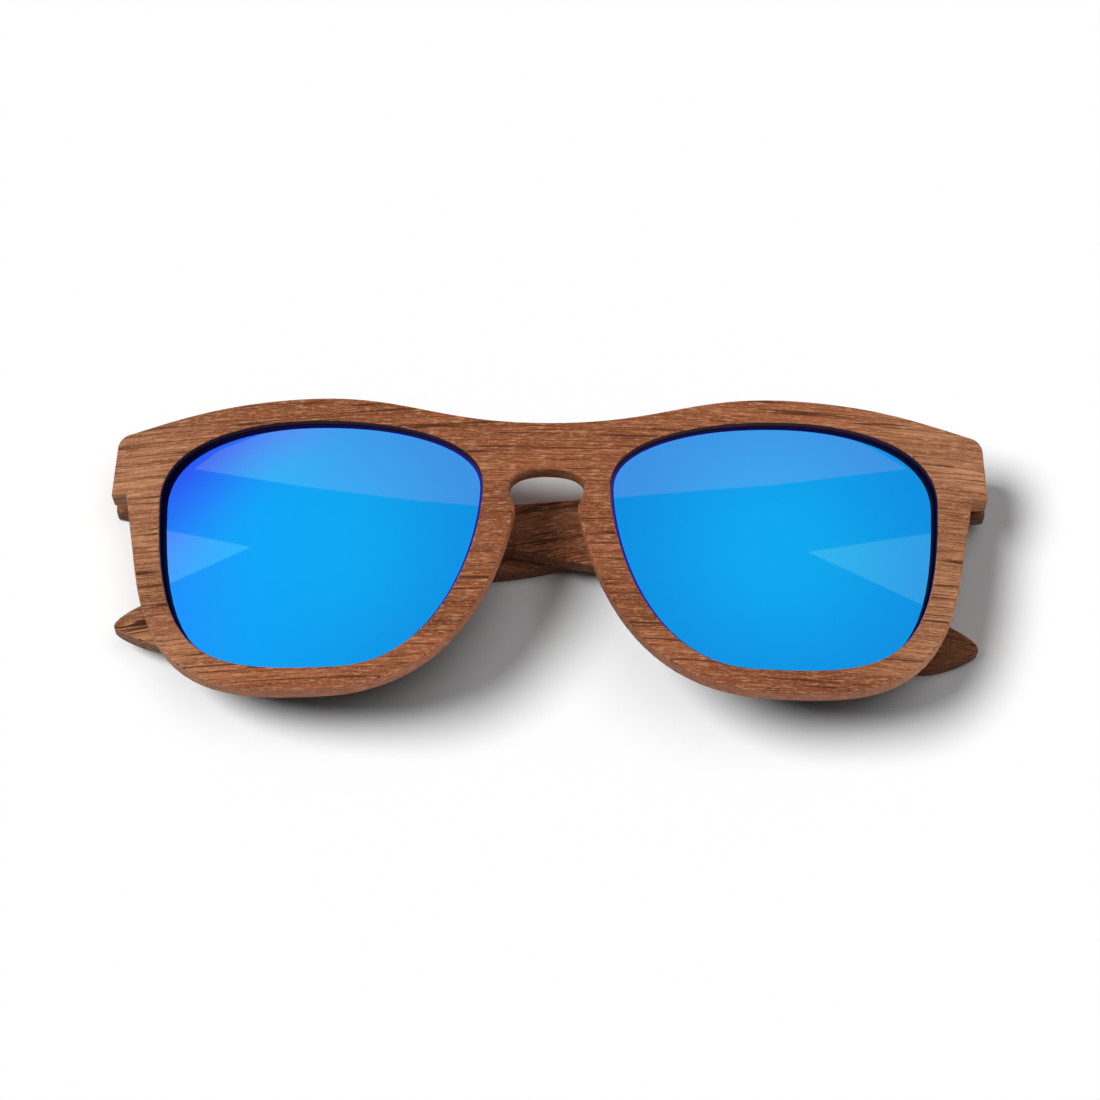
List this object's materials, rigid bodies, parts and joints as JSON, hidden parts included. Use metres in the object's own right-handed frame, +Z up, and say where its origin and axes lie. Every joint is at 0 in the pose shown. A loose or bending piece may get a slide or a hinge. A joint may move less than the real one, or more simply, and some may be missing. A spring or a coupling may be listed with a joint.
{
  "type": "sunglasses",
  "caption": "Wooden full-rim sunglasses with a keyhole bridge, blue mirror lenses and sprung folding temples, stored folded with the lenses up.",
  "frame": {"origin": "on the table under the middle of the folded sunglasses, at the outer face of the right temple", "axes": "+X to the wearer's left across the front, +Y to the brow, +Z up out of the lenses"},
  "size_m": [0.1453, 0.0504, 0.0262],
  "materials": {
    "front_wood": "oiled reddish-brown hardwood, grain across the front",
    "temple_wood": "oiled reddish-brown hardwood, grain along the temple",
    "mirror_lens": "blue mirror coat on a polarised plastic lens",
    "hinge_steel": "satin stainless steel",
    "spring_steel": "drawn spring wire"
  },
  "bodies": {
    "front": {"front_frame": "front_wood", "lens_left": "mirror_lens", "lens_right": "mirror_lens", "nose_pad_left": "front_wood", "nose_pad_right": "front_wood", "hinge_fork_left": "hinge_steel", "hinge_fork_right": "hinge_steel", "fork_screws_left": "hinge_steel", "fork_screws_right": "hinge_steel", "hinge_screw_left": "hinge_steel", "hinge_screw_right": "hinge_steel"},
    "slider_left": {"flex_slider_left": "hinge_steel", "slider_nut_left": "hinge_steel"},
    "temple_left": {"temple_left": "temple_wood", "flex_housing_left": "hinge_steel", "housing_screws_left": "hinge_steel", "flex_spring_left": "spring_steel"},
    "slider_right": {"flex_slider_right": "hinge_steel", "slider_nut_right": "hinge_steel"},
    "temple_right": {"temple_right": "temple_wood", "flex_housing_right": "hinge_steel", "housing_screws_right": "hinge_steel", "flex_spring_right": "spring_steel"}
  },
  "joints": [
    {"name": "left_fold", "type": "hinge", "parent": "front", "child": "slider_left", "pos_m": [0.06911, 0.01607, 0.0079], "axis": [0, -1, 0], "range_deg": [0, 92]},
    {"name": "left_flex", "type": "slide", "parent": "slider_left", "child": "temple_left", "axis": [-1, 0, 0], "range_m": [0, 0.002], "stiffness_N_per_m": 300, "springref_m": -0.004, "deforming": ["flex_spring_left"]},
    {"name": "right_fold", "type": "hinge", "parent": "front", "child": "slider_right", "pos_m": [-0.06911, 0.01607, 0.0032], "axis": [0, 1, 0], "range_deg": [0, 88]},
    {"name": "right_flex", "type": "slide", "parent": "slider_right", "child": "temple_right", "axis": [1, 0, 0], "range_m": [0, 0.002], "stiffness_N_per_m": 300, "springref_m": -0.004, "deforming": ["flex_spring_right"]}
  ]
}
